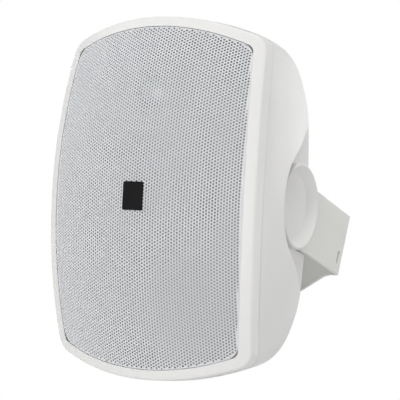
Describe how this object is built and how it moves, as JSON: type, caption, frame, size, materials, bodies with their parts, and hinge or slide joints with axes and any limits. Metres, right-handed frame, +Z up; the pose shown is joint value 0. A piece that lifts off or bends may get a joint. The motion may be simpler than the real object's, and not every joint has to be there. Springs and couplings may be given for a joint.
{
  "type": "surface-mount speaker",
  "caption": "White two-way loudspeaker with a domed perforated grille, a tapered cabinet and a tilting U-shaped wall bracket clamped by round dished knobs.",
  "frame": {"origin": "middle of the bracket's wall face", "axes": "+Z up, -Y the way the front faces, +X to the right of someone who faces the front"},
  "size_m": [0.1942, 0.2768, 0.3002],
  "materials": {
    "white_abs": "fine satin moulding",
    "grille_paint": "white powder coat",
    "white_painted_steel": "white powder coat",
    "black_plastic": "satin",
    "red_plastic": "gloss",
    "seal_rubber": "matt",
    "butyl_rubber": "satin",
    "spider_cloth": "resin-stiffened cloth",
    "cone_polypropylene": "satin",
    "dome_aluminium": "anodised",
    "zinc_steel": "zinc plated",
    "pale_steel": "pale grey paint",
    "ferrite": "ground ferrite",
    "copper": "enamelled copper",
    "brass": "turned",
    "circuit_board": "solder mask",
    "film_plastic": "film wrap",
    "ceramic_white": "ceramic"
  },
  "bodies": {
    "bracket": {"wall_bracket": "white_painted_steel"},
    "cabinet": {"front_baffle": "white_abs", "rear_cabinet": "white_abs", "cabinet_gasket": "seal_rubber", "grille": "grille_paint", "badge": "black_plastic", "baffle_screws": "pale_steel", "woofer_basket": "pale_steel", "woofer_surround": "butyl_rubber", "woofer_spider": "spider_cloth", "woofer_top_plate": "zinc_steel", "woofer_magnet": "ferrite", "woofer_yoke": "zinc_steel", "woofer_screws": "pale_steel", "tweeter_faceplate": "white_abs", "tweeter_dome": "dome_aluminium", "tweeter_magnet": "ferrite", "tweeter_screws": "pale_steel", "crossover_board": "circuit_board", "crossover_inductor": "copper", "crossover_capacitors": "film_plastic", "crossover_resistor": "ceramic_white", "terminal_cup": "black_plastic", "terminal_posts": "brass", "terminal_screws": "zinc_steel", "pivot_insert_left": "brass", "pivot_insert_right": "brass", "friction_washer_left": "seal_rubber", "friction_washer_right": "seal_rubber"},
    "cone": {"woofer_cone": "cone_polypropylene", "woofer_dust_cap": "cone_polypropylene", "woofer_voice_coil": "copper"},
    "knob_left": {"clamp_knob_left": "white_abs", "clamp_bolt_left": "zinc_steel"},
    "knob_right": {"clamp_knob_right": "white_abs", "clamp_bolt_right": "zinc_steel"},
    "nut_red": {"terminal_nut_red": "red_plastic"},
    "nut_black": {"terminal_nut_black": "black_plastic"}
  },
  "joints": [
    {"name": "cabinet_tilt", "type": "hinge", "parent": "bracket", "child": "cabinet", "pos_m": [0, -0.12996, 0.03264], "axis": [1, 0, 0], "range_deg": [-58, 30]},
    {"name": "knob_left_turn", "type": "hinge", "parent": "cabinet", "child": "knob_left", "pos_m": [-0.0795, -0.12996, 0.03264], "axis": [-1, 0, 0], "range_deg": [-360, 0]},
    {"name": "knob_right_turn", "type": "hinge", "parent": "cabinet", "child": "knob_right", "pos_m": [0.0795, -0.12996, 0.03264], "axis": [1, 0, 0], "range_deg": [-360, 0]},
    {"name": "cone_excursion", "type": "slide", "parent": "cabinet", "child": "cone", "axis": [0, -1, 0], "range_m": [-0.0025, 0.0025], "stiffness_N_per_m": 1200, "deforming": ["woofer_surround", "woofer_spider"]},
    {"name": "nut_red_turn", "type": "hinge", "parent": "cabinet", "child": "nut_red", "pos_m": [-0.0095, -0.10346, -0.01536], "axis": [0, 1, 0], "range_deg": [0, 360]},
    {"name": "nut_black_turn", "type": "hinge", "parent": "cabinet", "child": "nut_black", "pos_m": [0.0095, -0.10346, -0.01536], "axis": [0, 1, 0], "range_deg": [0, 360]}
  ]
}
